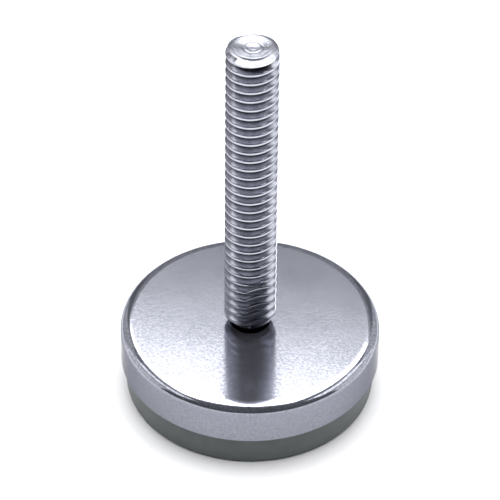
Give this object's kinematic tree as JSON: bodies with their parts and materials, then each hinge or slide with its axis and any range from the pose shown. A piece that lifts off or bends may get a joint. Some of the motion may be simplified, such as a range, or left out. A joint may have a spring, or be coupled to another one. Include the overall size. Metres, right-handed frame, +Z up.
{
  "type": "furniture leveling foot",
  "caption": "Swivel leveling foot: a threaded steel stud with wrench flats turns and rocks in a plated steel cap over a grey plastic floor pad.",
  "frame": {"origin": "centre of the pad's underside, where the foot stands on the floor", "axes": "+Z up along the stud to its free end; -Y towards the front, which the lower wrench flat nearly faces; +X to the right"},
  "size_m": [0.0318, 0.0318, 0.0514],
  "materials": {
    "stud_steel": "bright plated, turned end face",
    "cap_steel": "satin plated, drawn",
    "washer_steel": "plain pressed",
    "core_nylon": "natural nylon, moulded",
    "plate_steel": "plain pressed",
    "pad_plastic": "grey-green moulded plastic, smooth"
  },
  "bodies": {
    "base": {"cap_shell": "cap_steel", "core_insert": "core_nylon", "thrust_plate": "plate_steel", "base_pad": "pad_plastic"},
    "washer": {"retaining_washer": "washer_steel"},
    "stud": {"threaded_stud": "stud_steel"}
  },
  "joints": [
    {"name": "swivel", "type": "hinge", "parent": "base", "child": "washer", "pos_m": [0, 0, 0.00628], "axis": [0, 0, 1], "continuous": true},
    {"name": "tilt", "type": "hinge", "parent": "washer", "child": "stud", "pos_m": [0, 0, 0.00628], "axis": [0, 1, 0], "range_deg": [-5, 5]}
  ]
}
